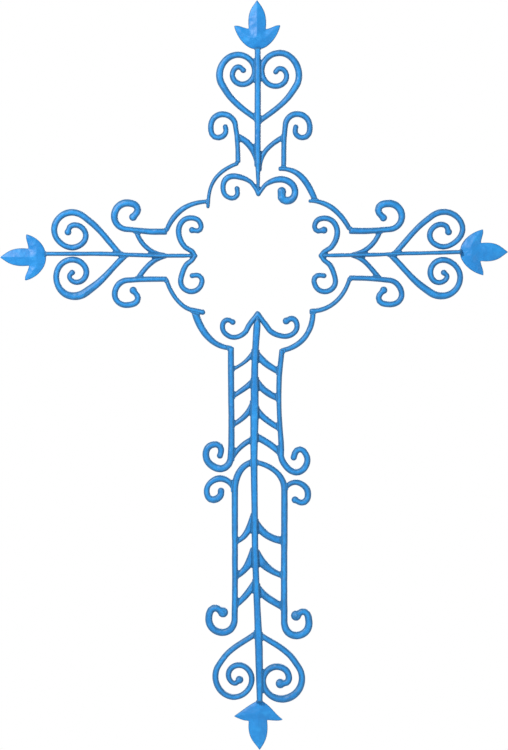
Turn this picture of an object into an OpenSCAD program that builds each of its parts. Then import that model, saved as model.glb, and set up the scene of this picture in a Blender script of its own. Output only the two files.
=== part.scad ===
// Wrought iron cross: bars bent and forged by hand, welded face to face, and painted.
// +Z is up, +X is right as seen from the front, and +Y is towards what the cross is fixed to.
// Every piece is set out flat, with its back in the plane Y = 0, where a wall or post would be.
// The origin is on the back of the head's stem, just below the heart, where a hook or clip holds it.
// Each arm is set out in a frame of its own: t across it, and s outwards from the crossing's centre.

/* [Reach] */
// From the crossing's centre to the tip of the head's leaf
head_reach = 406; // [385:1:520]
// From the crossing's centre to the tip of the left arm's leaf
left_reach = 413; // [395:1:520]
// From the crossing's centre to the tip of the right arm's leaf
right_reach = 400; // [390:1:520]
// From the crossing's centre to the tip of the foot's leaf
foot_reach = 794; // [740:1:1000]

/* [Open centre] */
// Height between the tips of the upper and lower inner curls
opening_h = 184; // [160:1:224]
// Width between the tips of the left and right inner curls
opening_w = 194; // [165:1:234]
// From the tips of the inner curls out to the ring's straight shoulders
ring_depth = 54; // [48:1:65]

/* [Rails] */
// Distance between the two rails of an arm
rail_gap = 76; // [66:1:92]
// From the opening down to the arch between the upper and lower shaft
upper_bay = 242; // [230:1:300]

/* [Scrolls] */
// Outer radius of a heart's scroll
heart_r = 34; // [28:1:41]
// Outer radius of the curl at the end of a rail
curl_r = 24; // [20:1:29]
// Outer radius of the curls at the inner tips
inner_r = 20; // [17:1:24]

/* [Leaves] */
// Length of the leaf on a tip
leaf_l = 78; // [68:1:94]
// Width over a leaf's two side lobes
leaf_w = 74; // [62:1:88]

/* [Bars] */
// Width of the head's stem, seen from the front
stem_w = 8.5; // [7:0.1:11]
// Width of the side arms' stems, seen from the front
side_stem_w = 5.8; // [4.8:0.1:8]
// Width of the long upright, seen from the front
upright_w = 10; // [8:0.1:13]
// Usual width of a rail, scroll, arc or rung, seen from the front
bar_w = 8.4; // [6:0.1:9]
// Depth of the stems and the upright, back to front
stem_d = 14; // [11:0.5:18]
// Depth of the rails, scrolls and arcs, back to front
bar_d = 12; // [9:0.5:16]
// Depth of the rungs and brackets, back to front
rung_d = 10; // [8:0.5:13]
// Thickness of the leaves, back to front
leaf_d = 8; // [6:0.5:11]

/* [Hidden] */

// ---- the arms, and the two sides of each ----
HEAD = 0;
LEFT = 1;
RIGHT = 2;
FOOT = 3;
// The minus side of an arm is the left of the head and foot, and the underside of the side arms
MINUS = -1;
PLUS = 1;

function reach(arm) = [head_reach, left_reach, right_reach, foot_reach][arm];
function opening(arm) = (arm == LEFT || arm == RIGHT ? opening_w : opening_h) / 2;

// From an arm's own frame to the cross's, with X to the right and Z up
function place(arm, p) =
    arm == HEAD ? [p.x, p.y] : arm == LEFT ? [-p.y, p.x] : arm == RIGHT ? [p.y, p.x] : [p.x, -p.y];
function placed(arm, path) = [for (p = path) place(arm, p)];
// A path set out on the plus side, moved to the side that is asked for
function on_side(side, path) = [for (p = path) [side * p.x, p.y]];

// ---- curves ----
function polar(r, a) = [r * cos(a), r * sin(a)];
function unit(v) = v / norm(v);

// The smooth value at f, from 0 to 1, through keys that are spread evenly
function smooth(keys, f) =
    let (
        last = len(keys) - 1,
        x = min(max(f, 0), 1) * last,
        i = min(floor(x), last - 1),
        u = x - i,
        a = keys[max(i - 1, 0)],
        b = keys[i],
        c = keys[i + 1],
        d = keys[min(i + 2, last)]
    )
    (2 * b + (c - a) * u + (2 * a - 5 * b + 4 * c - d) * u * u + (3 * b - a - 3 * c + d) * u * u * u) / 2;

function bezier(p0, p1, p2, p3, n) =
    [for (i = [0 : n]) let (u = i / n, v = 1 - u)
        v * v * v * p0 + 3 * v * v * u * p1 + 3 * v * u * u * p2 + u * u * u * p3];

// A bar bent in one sweep: it leaves p at the angle from and arrives at q at the angle to
function bend(p, from, q, to, pull = 0.4, n = 8) =
    let (h = pull * norm(q - p))
    bezier(p, p + polar(h, from), q - polar(h, to), q, n);

// A scroll round its eye, whose curvature eases through radii spread evenly over the turn
function snail(eye, from, turn, radii, steps) =
    let (tightness = [for (r = radii) 1 / r])
    [for (i = [0 : steps]) eye + polar(1 / smooth(tightness, i / steps), from + turn * i / steps)];

// A bar that leaves its foot at an angle and runs smoothly into a scroll
function led(foot, from, scroll, pull_out, pull_in, n) =
    let (
        into = unit(scroll[1] - scroll[0]),
        l = norm(scroll[0] - foot),
        lead = bezier(foot, foot + polar(pull_out * l, from), scroll[0] - pull_in * l * into, scroll[0], n)
    )
    concat([for (i = [0 : n - 1]) lead[i]], scroll);

// ---- bars seen from the front ----
function run(path) =
    [for (i = 0, d = 0; i < len(path); i = i + 1, d = d + (i < len(path) ? norm(path[i] - path[i - 1]) : 0)) d];
function normal_at(path, i) =
    let (v = unit(path[min(i + 1, len(path) - 1)] - path[max(i - 1, 0)]))
    [-v.y, v.x];

// The outline of a bar along a path, whose width eases through keys spread along its length.
// The far end is square, or it is round and beaten out into a button where end_r is more than half
// the width. The near end is square, or round when nose is true.
function bar(path, widths, square_end = false, end_r = 0, nose = false) =
    let (
        last = len(path) - 1,
        far = run(path),
        half = [for (i = [0 : last]) smooth(widths, far[i] / far[last]) / 2],
        r = max(end_r, half[last]),
        kept = [for (i = [0 : last]) if (square_end || norm(path[last] - path[i]) > r) i],
        back = kept[len(kept) - 1],
        out = path[last] - path[back],
        heading = atan2(out.y, out.x),
        spread = 180 - asin(min(1, half[back] / r)),
        into = path[1] - path[0],
        start = atan2(into.y, into.x)
    )
    concat(
        [for (i = kept) path[i] + half[i] * normal_at(path, i)],
        square_end ? [] : [for (j = [0 : 8]) path[last] + polar(r, heading + spread * (1 - j / 4))],
        [for (j = [len(kept) - 1 : -1 : 0]) path[kept[j]] - half[kept[j]] * normal_at(path, kept[j])],
        nose ? [for (j = [1 : 5]) path[0] + polar(half[0], start - 90 - 30 * j)] : []
    );

// Raises an outline into a solid whose back lies in the plane Y = 0
module forge(depth) {
    color([0.21, 0.59, 0.89])
        translate([0, 0, -hang_s])
            rotate([90, 0, 0])
                linear_extrude(depth)
                    children();
}

// ---- stems ----
// How far each stem wanders sideways between its tip and its leaf
STEM_SWAY = [
    [0.5, -0.5, -0.5, -0.5, -0.5],
    [-3, -3, -2, 0, 0, 0],
    [-3, -2, -1.5, 0.5, 1.5, 3],
    [-0.5, -5, -5.5, -6.5, -5.5, -4.5, -1.5, 1.5, 2.5]
];
// Width of each stem between its tip and its leaf, as a share of its usual width
STEM_SHAPE = [
    [0.95, 1, 1.05, 1.1, 1.05, 1],
    [1, 1, 1.05, 1.05, 1, 1],
    [1, 0.95, 0.95, 0.95, 0.95, 1],
    [1.1, 1, 1.25, 1.05, 0.95, 0.95, 1, 1.15, 0.85]
];
// How far each stem takes to draw down to its inner tip
STEM_TAPER = [55, 20, 20, 22];
TIP_SHARE = 0.3;
// How far the middle of the curls' round nose stands off the opening
NOSE = 3.2;
// How far a cut runs on past the bar that it follows
MARGIN = 6;

function leaf_foot(arm) = reach(arm) - leaf_l + [0, 5, 2, 0][arm];
function stem_share(arm, s) = (s - opening(arm)) / (leaf_foot(arm) - opening(arm));
function stem_t(arm, s) = smooth(STEM_SWAY[arm], stem_share(arm, s));
function stem_width(arm, s) =
    let (usual = arm == HEAD ? stem_w : arm == FOOT ? upright_w : side_stem_w)
    usual * smooth(STEM_SHAPE[arm], stem_share(arm, s))
        * min(1, TIP_SHARE + (1 - TIP_SHARE) * (s - opening(arm)) / STEM_TAPER[arm]);

// The outline of a stem, grown to either side to cut off all that passes through it
function stem_outline(arm, minus_grow = 0, plus_grow = 0) =
    let (
        from = opening(arm) + NOSE,
        steps = arm == FOOT ? 20 : 10,
        stations = concat(
            [from, from + STEM_TAPER[arm] / 2],
            [for (i = [0 : steps]) let (s0 = from + STEM_TAPER[arm])
                s0 + (leaf_foot(arm) + 1 - s0) * i / steps]
        )
    )
    placed(arm, concat(
        [for (s = stations) [stem_t(arm, s) - stem_width(arm, s) / 2 - minus_grow, s]],
        [for (i = [len(stations) - 1 : -1 : 0]) let (s = stations[i])
            [stem_t(arm, s) + stem_width(arm, s) / 2 + plus_grow, s]]
    ));

module stem_shape(arm) {
    polygon(stem_outline(arm));
}

// The stem as a bar on side i meets it, with a margin beyond
module stem_cut(arm, i) {
    polygon(stem_outline(arm, i == 0 ? 0 : MARGIN, i == 0 ? MARGIN : 0));
}

// A rail as a bar from the stem meets it on side i, with a margin beyond. A negative reach cuts
// what comes from outside.
module beyond(arm, i, reach = MARGIN) {
    for (out = [0, reach])
        translate(place(arm, [(i == 0 ? MINUS : PLUS) * out, 0]))
            children();
}

module stem(arm) {
    forge(stem_d)
        difference() {
            stem_shape(arm);
            inner_curl_shape(arm);
        }
}

// ---- inner curls ----
INNER_KEYS = [
    [[41.5, 12.3, [38, 22, 18.5, 14.5, 15, 14, 8], 4], [44.5, 8, [41, 22.2, 15.6, 14.8, 15.8, 12.5, 6.5], 6.8]],
    [[43, 8.5, [33, 19, 18.5, 17.5, 16, 14.5, 8], 4], [43, 8.5, [39, 24.5, 18, 14.5, 14.5, 12, 5], 5]],
    [[43, 8.5, [33, 19, 18.5, 17.5, 16, 14.5, 8], 4], [43, 8.5, [40, 24.5, 17, 14, 15, 12.5, 5], 5.5]],
    [[45, 25, [29, 19, 13, 12, 12.5, 9], 4.5], [49, 22.5, [36, 20, 15, 13.5, 12.5, 8], 5.5]]
];
INNER_WIDTHS = [
    [[0.75, 0.75, 1, 1, 0.9, 0.85, 0.85], [0.75, 0.75, 1.1, 1.2, 1.2, 1.4, 1.6]],
    [[0.8, 0.95, 0.95, 0.95, 0.95, 0.9, 0.85], [0.8, 0.95, 1, 1, 0.95, 0.9, 0.9]],
    [[0.8, 0.95, 0.95, 0.95, 0.95, 0.9, 0.85], [0.8, 0.95, 1, 1, 0.95, 0.9, 0.9]],
    [[0.85, 0.95, 0.95, 0.9, 0.9, 0.9, 0.85], [0.85, 1, 1, 0.95, 0.9, 1, 1]]
];

function inner_path(arm, i) =
    let (
        key = INNER_KEYS[arm][i],
        k = inner_r / 20,
        eye = [key[0] * k, opening(arm) + key[1] * k],
        tip = [(i == 0 ? -1 : 1) * stem_t(arm, opening(arm)), opening(arm) + NOSE],
        scroll = snail(eye, 180, -60 * (len(key[2]) - 1), key[2] * k, 20)
    )
    placed(arm, on_side(i == 0 ? MINUS : PLUS, led(tip, 62, scroll, 0.3, 0.3, 3)));

module inner_curl_shape(arm) {
    for (i = [0, 1])
        polygon(bar(inner_path(arm, i), bar_w * INNER_WIDTHS[arm][i], end_r = INNER_KEYS[arm][i][3] * inner_r / 20,
            nose = true));
}

module inner_curls(arm) {
    forge(bar_d)
        inner_curl_shape(arm);
}

// ---- hearts ----
// For each arm: how far its heart's eyes stand in from the leaf's tip
HEART_IN = [117, 117.5, 104.5, 113.5];
// For each scroll: its eye across the arm and along it, the foot's place along the arm, the angle
// it leaves at, its radii every sixth of a turn, its widths and the radius of its end
HEART_KEYS = [
    [[29, 0.5, -74.5, 36, [34.5, 31.5, 29.5, 26, 22.5, 18.5, 14, 11, 10, 7],
        [1, 1.1, 1.25, 1.1, 1.05, 1, 0.9], 4.5],
     [32, -1, -78.5, 37, [35, 33, 34, 29.5, 24, 20, 16, 12, 8.5, 5],
        [0.9, 1, 1.2, 1.1, 1.05, 0.95, 0.9], 4]],
    [[33.5, -1, -84, 47, [34, 34, 29, 26, 23, 20, 14.5, 10, 7.5, 4.5],
        [1, 1.1, 1.5, 1.1, 1.05, 1.05, 0.8], 4.5],
     [33.5, 1, -75, 43, [31.5, 33.2, 30.3, 24.5, 23, 21.2, 15, 11, 8],
        [1, 1.1, 1.15, 1.1, 1, 1, 0.95], 5.5]],
    [[33.5, -1, -84.5, 47, [34, 33.5, 29.5, 25, 23, 19, 15, 10.5, 8, 4.5],
        [1, 1.1, 1.35, 1.05, 1, 1, 0.8], 4.5],
     [33.5, 1, -77, 43, [32.5, 34, 31.5, 23, 22, 22, 16, 12, 8.5],
        [1, 1, 1.1, 1, 0.95, 1, 0.95], 5.5]],
    [[33.5, -2, -75.5, 37, [36, 34, 31.5, 25.5, 22.5, 20.5, 16.5, 12, 9, 5],
        [1, 1, 1.05, 1, 0.95, 1, 0.8], 6],
     [35, 2.5, -72, 32, [37, 34, 30, 27.5, 26.5, 22.5, 17, 11, 5],
        [1, 1.1, 1.1, 1.35, 1.05, 1.15, 1.15], 7.5]]
];

function heart_eye_s(arm) = reach(arm) - HEART_IN[arm];
function heart_foot_s(arm) = heart_eye_s(arm) + HEART_KEYS[arm][0][2] * heart_r / 34;

function heart_path(arm, i) =
    let (
        key = HEART_KEYS[arm][i],
        k = heart_r / 34,
        eye = [key[0] * k, heart_eye_s(arm) + key[1]],
        foot_s = heart_eye_s(arm) + key[2] * k,
        foot = [(i == 0 ? -1 : 1) * stem_t(arm, foot_s), foot_s],
        scroll = snail(eye, -40, 60 * (len(key[4]) - 1), key[4] * k, 4 * (len(key[4]) - 1))
    )
    placed(arm, on_side(i == 0 ? MINUS : PLUS, led(foot, key[3], scroll, 0.36, 0.36, 5)));

module heart_scroll(arm, i) {
    forge(bar_d)
        difference() {
            polygon(bar(heart_path(arm, i), bar_w * HEART_KEYS[arm][i][5],
                end_r = HEART_KEYS[arm][i][6] * heart_r / 34));
            stem_cut(arm, i);
        }
}

// ---- rails that end in a curl ----
// For each rail of an arm: how far it stands out beyond half the rail gap, and how far its foot
// stands off the ring's shoulder
RAIL_HAND = [[-6, 3], [2.5, -2.5], [0.5, -1], [5.5, 0.5]];
RAIL_FOOT_HAND = [[0, -7], [-5, -5], [-5, -5], [3, 7]];
// How far each rail of a short arm leans in as it leaves the ring
RAIL_LEAN = [[0, 0], [0, 4], [0, 4]];
// For each curl: its eye out from the rail and along from the heart's foot, its radii, its widths
// and the radius of its end
CURL_KEYS = [
    [[25.8, -11.3, [22, 21, 19.5, 17.8, 19.5, 11.3, 5.5], [0.85, 0.85, 0.9, 1.05, 1, 1, 0.9], 4],
     [25, -11.5, [22.6, 22.3, 19, 17, 18.8, 11.8, 5.5], [0.9, 0.9, 0.9, 1.05, 1, 1, 0.9], 4]],
    [[22, -5, [20.5, 21.8, 23.2, 19.3, 16.6, 7.8], [0.95, 0.95, 0.95, 1.05, 1, 1.05, 1], 5.8],
     [27, -5, [23.5, 24.5, 22, 18.8, 16.2, 7.4], [1.1, 1.1, 0.95, 1.1, 1.3, 1.3, 1.15], 6]],
    [[23.5, -3, [20, 20.4, 22.6, 18.9, 17.4, 7.8], [0.9, 0.9, 0.95, 1, 1, 1.05, 1], 5.8],
     [24.5, -4, [22.5, 23.6, 22, 19, 16.8, 7.4], [1.15, 1.1, 1, 1.1, 1.3, 1.3, 1.15], 6]]
];

function rail_t(arm, i) = rail_gap / 2 + RAIL_HAND[arm][i];
function rail_foot(arm, i) = opening(arm) + ring_depth + RAIL_FOOT_HAND[arm][i];

function rail_path(arm, i) =
    let (
        key = CURL_KEYS[arm][i],
        k = curl_r / 24,
        t = rail_t(arm, i),
        eye = [t + key[0] * k, heart_foot_s(arm) + key[1] - (curl_r - 24)],
        scroll = snail(eye, 180, -60 * (len(key[2]) - 1), key[2] * k, 20)
    )
    placed(arm, on_side(i == 0 ? MINUS : PLUS,
        led([t, rail_foot(arm, i)], 90 + RAIL_LEAN[arm][i], scroll, 0.4, 0.2, 3)));

module rail_shape(arm, i) {
    polygon(bar(rail_path(arm, i), bar_w * CURL_KEYS[arm][i][3],
        end_r = CURL_KEYS[arm][i][4] * curl_r / 24));
}

module rail(arm, i) {
    forge(bar_d)
        difference() {
            rail_shape(arm, i);
            if (arm == HEAD && i == 1)
                polygon(RING_HEAD_RIGHT_OUTLINE);
        }
}

// ---- the shaft's own rails, arch, side bars and crooks ----
arch_s = opening_h / 2 + upper_bay;
foot_bay = heart_foot_s(FOOT) - arch_s;
// For each rail of the upper shaft: the angle it leaves at, its curl's eye out from the rail and
// along from the arch, the angle the curl starts at, its radii, its widths and the radius of its end
SHAFT_KEYS = [
    [90, 22.5, -11, 180, [22.5, 23, 17.5, 17.5, 19, 13.5, 5],
        [1.1, 1.1, 1.1, 1.05, 1.1, 1.2, 1.3, 1.15, 1.05], 4.8],
    [99, 25.5, -4, 210, [31, 21.5, 19.5, 15.3, 15.3, 16.8, 8],
        [0.95, 0.95, 0.9, 0.85, 0.95, 1.1, 1.15, 1.1, 1.1], 4.5]
];

function shaft_rail_path(i) =
    let (
        key = SHAFT_KEYS[i],
        k = curl_r / 24,
        t = rail_t(FOOT, i),
        eye = [t + key[1] * k, arch_s + key[2] - (curl_r - 24)],
        scroll = snail(eye, key[3], -60 * (len(key[4]) - 1), key[4] * k, 20)
    )
    placed(FOOT, on_side(i == 0 ? MINUS : PLUS,
        led([t, rail_foot(FOOT, i)], key[0], scroll, 0.45, 0.12, 6)));

module shaft_rail_shape(i) {
    polygon(bar(shaft_rail_path(i), bar_w * SHAFT_KEYS[i][5],
        end_r = SHAFT_KEYS[i][6] * curl_r / 24));
}

module shaft_rail(i) {
    forge(bar_d)
        shaft_rail_shape(i);
}

// For each side bar: how far its rail stands out beyond half the gap, its curl's eye out from the
// rail and along from the heart's foot, its curl's radii, its widths and the radius of its end
SIDE_KEYS = [
    [-0.8, 23.3, -23.3, [23, 25.6, 22, 18.3, 17.3, 9],
        [1.05, 1.2, 1.1, 1.05, 1.05, 1.05, 1.05, 1.1, 1.25, 1.25, 1.2], 8],
    [5.8, 21.1, -18.8, [23, 26, 22, 16.2, 15.7, 8],
        [0.9, 1, 1.15, 1.15, 1.15, 1.15, 1.15, 1.1, 1.35, 1.3, 1.1], 8]
];
ARCH_DROP = 44;
// How far in each side bar stands at its shoulder
SIDE_LEAN = [0, 1.6];

function side_t(i) = rail_gap / 2 + SIDE_KEYS[i][0];
function side_path(i) =
    let (
        key = SIDE_KEYS[i],
        k = curl_r / 24,
        t = side_t(i),
        crown = [(i == 0 ? -1 : 1) * stem_t(FOOT, arch_s), arch_s - 1],
        shoulder = [t - SIDE_LEAN[i], arch_s + ARCH_DROP],
        eye = [t + key[1] * k, heart_foot_s(FOOT) + key[2] - (curl_r - 24)],
        scroll = snail(eye, 180, -60 * (len(key[3]) - 1), key[3] * k, 18),
        arch = bend(crown, 8, shoulder, 90, 0.38, 8)
    )
    placed(FOOT, on_side(i == 0 ? MINUS : PLUS,
        concat([for (j = [0 : 7]) arch[j]], led(shoulder, 90, scroll, 0.4, 0.1, 3))));

module side_bar_shape(i) {
    polygon(bar(side_path(i), bar_w * SIDE_KEYS[i][4], end_r = SIDE_KEYS[i][5] * curl_r / 24));
}

module side_bar(i) {
    forge(bar_d)
        difference() {
            side_bar_shape(i);
            stem_cut(FOOT, i);
        }
}

// For each crook: its eye out from the rail and along from the arch, its radii, its widths and the
// radius of its end
CROOK_KEYS = [
    [29.5, 45.5, [28.5, 22.3, 16.5, 15.5, 16, 10.5, 7.5], [0.9, 1.05, 1.15, 1, 1.05, 1.3, 1.1], 5],
    [22, 48.5, [25, 19, 14, 14, 17, 13], [0.8, 0.85, 0.95, 1.1, 1.15, 1.1, 1], 5.5]
];

function crook_path(i) =
    let (key = CROOK_KEYS[i], k = curl_r / 24)
    placed(FOOT, on_side(i == 0 ? MINUS : PLUS,
        snail([side_t(i) + key[0] * k, arch_s + key[1]], 180, 60 * (len(key[2]) - 1), key[2] * k, 20)));

module crook(i) {
    forge(bar_d)
        difference() {
            polygon(bar(crook_path(i), bar_w * CROOK_KEYS[i][3],
                end_r = CROOK_KEYS[i][4] * curl_r / 24));
            beyond(FOOT, i, -MARGIN)
                side_bar_shape(i);
        }
}

// ---- the ring of arcs round the open centre ----
// The ring's four inward points, out from the corners of the opening
NIP_TOP_LEFT = [-opening_w / 2 + 17.5, opening_h / 2 - 8];
NIP_TOP_RIGHT = [opening_w / 2 - 5, opening_h / 2 - 7.5];
NIP_FOOT_LEFT = [-opening_w / 2 - 5, -opening_h / 2 + 1.5];
NIP_FOOT_RIGHT = [opening_w / 2 - 9, -opening_h / 2 + 0.5];

function rail_end(arm, i) = place(arm, [(i == 0 ? -1 : 1) * rail_t(arm, i), rail_foot(arm, i)]);
// A straight run-out of a bar past its last point
function run_out(path, l) =
    let (n = len(path) - 1)
    concat(path, [path[n] + l * unit(path[n] - path[n - 1])]);

// The arcs that run on past the nips are whole; the other four are cut to meet them
RING_HEAD_LEFT_OUTLINE = bar(
    run_out(bend(rail_end(HEAD, 0) + [0, -1], 200, NIP_TOP_LEFT, 268, 0.42, 10), 8.5),
    bar_w * [0.65, 0.65, 0.65, 0.6, 0.6]);
RING_RIGHT_UPPER_OUTLINE = bar(
    bend(NIP_TOP_RIGHT + [-11, 0], 3, rail_end(RIGHT, 1) + [1, 2], -62, 0.38, 12),
    bar_w * [0.5, 0.85, 0.95, 0.95, 0.8], square_end = true);
RING_LEFT_LOWER_OUTLINE = bar(
    run_out(bend(rail_end(LEFT, 0) + [-1, 0], -74, NIP_FOOT_LEFT, -6, 0.33, 10), 13.5),
    bar_w * [0.75, 0.75, 0.75, 0.8, 1]);
RING_RIGHT_LOWER_OUTLINE = bar(
    bend(rail_end(RIGHT, 0) + [1, 0], -105, NIP_FOOT_RIGHT + [-2, 0], 180, 0.38, 12),
    bar_w * [0.75, 0.75, 0.75, 0.8, 0.9]);
RING_HEAD_RIGHT_OUTLINE = bar(
    bend(rail_end(HEAD, 1) + [-8, -3], 4, NIP_TOP_RIGHT, -68, 0.42, 12),
    bar_w * [0.7, 0.9, 1.1, 1.15, 1], square_end = true);
RING_LEFT_UPPER = bend(NIP_TOP_LEFT, 183, rail_end(LEFT, 1) + [-1, 1], 248, 0.41, 10);
RING_FOOT_LEFT = bend(NIP_FOOT_LEFT, -74, rail_end(FOOT, 0) + [0, -2], -4, 0.38, 10);
RING_FOOT_RIGHT = bend(NIP_FOOT_RIGHT, -90, rail_end(FOOT, 1) + [0, -2], 192, 0.41, 10);

module ring_head_left() {
    forge(bar_d)
        difference() {
            polygon(RING_HEAD_LEFT_OUTLINE);
            rail_shape(HEAD, 0);
        }
}

module ring_left_upper() {
    forge(bar_d)
        difference() {
            polygon(bar(RING_LEFT_UPPER, bar_w * [0.7, 0.8, 0.95, 0.95, 0.75], square_end = true));
            polygon(RING_HEAD_LEFT_OUTLINE);
            rail_shape(LEFT, 1);
        }
}

module ring_right_upper() {
    forge(bar_d)
        difference() {
            polygon(RING_RIGHT_UPPER_OUTLINE);
            rail_shape(RIGHT, 1);
        }
}

module ring_head_right() {
    forge(bar_d)
        difference() {
            polygon(RING_HEAD_RIGHT_OUTLINE);
            polygon(RING_RIGHT_UPPER_OUTLINE);
        }
}

module ring_left_lower() {
    forge(bar_d)
        difference() {
            polygon(RING_LEFT_LOWER_OUTLINE);
            rail_shape(LEFT, 0);
        }
}

module ring_foot_left() {
    forge(bar_d)
        difference() {
            polygon(bar(RING_FOOT_LEFT, bar_w * [1.25, 1.3, 1.2, 1, 0.85], square_end = true));
            polygon(RING_LEFT_LOWER_OUTLINE);
            shaft_rail_shape(0);
        }
}

module ring_right_lower() {
    forge(bar_d)
        difference() {
            polygon(RING_RIGHT_LOWER_OUTLINE);
            rail_shape(RIGHT, 0);
        }
}

module ring_foot_right() {
    forge(bar_d)
        difference() {
            polygon(bar(RING_FOOT_RIGHT, bar_w * [0.95, 0.95, 0.95, 0.95, 0.9], square_end = true));
            polygon(RING_RIGHT_LOWER_OUTLINE);
            shaft_rail_shape(1);
        }
}

// ---- brackets and rungs: short bars swept from a stem out to a rail ----
// The bar leaves the stem at s0 at the angle a0, rises along the arm, and meets the rail at a1
function sweep_path(arm, i, t1, s0, rise, a0, a1) =
    let (side = i == 0 ? MINUS : PLUS)
    placed(arm, on_side(side, bend([side * stem_t(arm, s0), s0], a0, [t1, s0 + rise], a1, 0.38, 8)));

// For each bracket: how far short of the heart's foot it meets its rail, its rise, its two angles
// and its widths
BRACKET_KEYS = [
    [[26.8, 46, 84, 25, [1, 1.15, 1.25, 1.2, 1.1]], [27.2, 54, 86, 28, [1.35, 1.05, 0.85, 0.85, 0.9]]],
    [[18.5, 44, 72, 33, [0.95, 0.9, 0.9, 0.9, 0.9]], [16.5, 45, 80, 20, [0.95, 0.9, 0.85, 0.85, 0.85]]],
    [[17, 42, 72, 42, [0.95, 0.9, 0.9, 0.9, 0.9]], [15.5, 43, 76, 20, [0.95, 0.9, 0.85, 0.85, 0.85]]]
];

module bracket(arm, i) {
    key = BRACKET_KEYS[arm][i];
    s0 = heart_foot_s(arm) - key[0] - key[1];
    forge(rung_d)
        difference() {
            polygon(bar(sweep_path(arm, i, rail_t(arm, i), s0, key[1], key[2], key[3]),
                bar_w * key[4], square_end = true));
            stem_cut(arm, i);
            beyond(arm, i)
                rail_shape(arm, i);
        }
}

// For each rung: its place down its bay as a share of the bay, its rise, its angles and its widths.
// Four pairs stand in the upper shaft and three in the lower.
UPPER_RUNGS = 4;
RUNG_KEYS = [
    [[0.245, 35, 63, 25, [0.8, 0.7, 0.6, 0.6]], [0.27, 34, 54, 28, [1.35, 1.3, 1.2, 1.15]]],
    [[0.453, 29, 45, 36, [1.1, 1, 0.9, 0.8]], [0.445, 34, 58, 20, [1.25, 1.25, 1.2, 1.15]]],
    [[0.593, 40, 66, 27, [1.35, 1.05, 0.9, 0.8]], [0.634, 36, 54, 28, [1.2, 1.15, 1.1, 1.05]]],
    [[0.84, 35, 25, 62, [1, 0.95, 0.9, 0.9]], [0.822, 31, 25, 45, [1.3, 1.25, 1.2, 1.1]]],
    [[0.311, 44, 68, 22, [1.5, 1.3, 1, 0.8]], [0.348, 31, 60, 2, [1.4, 1.4, 1.3, 1.45]]],
    [[0.512, 45, 72, 30, [1.7, 1.6, 1.15, 0.95]], [0.527, 40, 65, 17, [1.7, 1.6, 1.15, 0.95]]],
    [[0.703, 39, 55, 38, [1.3, 1.2, 1.1, 1.05]], [0.733, 35, 54, 30, [1.4, 1.35, 1.3, 1.25]]]
];

module rung(n, i) {
    key = RUNG_KEYS[n - 1][i];
    upper = n <= UPPER_RUNGS;
    s0 = upper ? opening_h / 2 + key[0] * upper_bay : arch_s + key[0] * foot_bay;
    t1 = upper ? rail_t(FOOT, i) : side_t(i);
    forge(rung_d)
        difference() {
            polygon(bar(sweep_path(FOOT, i, t1, s0, key[1], key[2], key[3]), bar_w * key[4],
                square_end = true));
            stem_cut(FOOT, i);
            beyond(FOOT, i)
                if (upper)
                    shaft_rail_shape(i);
                else
                    side_bar_shape(i);
        }
}

// ---- leaves ----
// For each leaf: how far its middle stands off the arm's centre, then for each side the tip of the
// side lobe, the notch above it, out from the middle and up from the leaf's foot, and the pulls that
// round the lobe's back at its foot and at its tip
LEAF_SHIFT = [-1.5, -5.5, 3, 2.5];
FULL_BACK = [[15, 1], [-4, -18]];
FLAT_BACK = [[12, 5], [-12, -8]];
LEAF_KEYS = [
    [[[36.5, 37], [13, 32], FULL_BACK], [[37, 38], [13.5, 31], FULL_BACK]],
    [[[37, 33], [13, 26], FULL_BACK], [[36.5, 31], [13.5, 27], FULL_BACK]],
    [[[37, 36.5], [14, 31.5], FULL_BACK], [[36, 36], [14, 32], FULL_BACK]],
    [[[40.5, 24.5], [17, 31.5], FLAT_BACK], [[37, 30], [11.5, 30], FLAT_BACK]]
];
LEAF_HALF = 37;

function leaf_side(key, l, w) =
    let (
        lobe = [key[0].x * w, key[0].y],
        notch = [key[1].x * w, key[1].y],
        foot = [3, 0],
        back = bezier(foot, foot + key[2][0], lobe + key[2][1], lobe, 8),
        edge = bezier(lobe, lobe + [-5, 2], notch + [8, 1], notch, 3),
        blade = bezier(notch, notch + [3, 28], [8, l - 12], [0, l], 10)
    )
    concat(back, [for (i = [1 : 3]) edge[i]], [for (i = [1 : 10]) blade[i]]);

module leaf_shape(arm) {
    l = reach(arm) - leaf_foot(arm);
    w = leaf_w / 2 / LEAF_HALF;
    plus = leaf_side(LEAF_KEYS[arm][1], l, w);
    minus = on_side(MINUS, leaf_side(LEAF_KEYS[arm][0], l, w));
    outline = concat(plus, [for (i = [len(minus) - 2 : -1 : 0]) minus[i]]);
    polygon(placed(arm, [for (p = outline) p + [LEAF_SHIFT[arm], leaf_foot(arm)]]));
}

module leaf(arm) {
    forge(leaf_d)
        difference() {
            leaf_shape(arm);
            stem_shape(arm);
        }
}

// ---- assembly ----
hang_s = heart_foot_s(HEAD) - 24;

stem(HEAD);  // top_stem
stem(LEFT);  // left_stem
stem(RIGHT);  // right_stem
stem(FOOT);  // upright
inner_curls(HEAD);  // top_inner_curls
inner_curls(LEFT);  // left_inner_curls
inner_curls(RIGHT);  // right_inner_curls
inner_curls(FOOT);  // foot_inner_curls
heart_scroll(HEAD, 0);  // top_heart_left
heart_scroll(HEAD, 1);  // top_heart_right
heart_scroll(LEFT, 0);  // left_heart_lower
heart_scroll(LEFT, 1);  // left_heart_upper
heart_scroll(RIGHT, 0);  // right_heart_lower
heart_scroll(RIGHT, 1);  // right_heart_upper
heart_scroll(FOOT, 0);  // foot_heart_left
heart_scroll(FOOT, 1);  // foot_heart_right
rail(HEAD, 0);  // top_rail_left
rail(HEAD, 1);  // top_rail_right
rail(LEFT, 0);  // left_rail_lower
rail(LEFT, 1);  // left_rail_upper
rail(RIGHT, 0);  // right_rail_lower
rail(RIGHT, 1);  // right_rail_upper
leaf(HEAD);  // top_leaf
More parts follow.
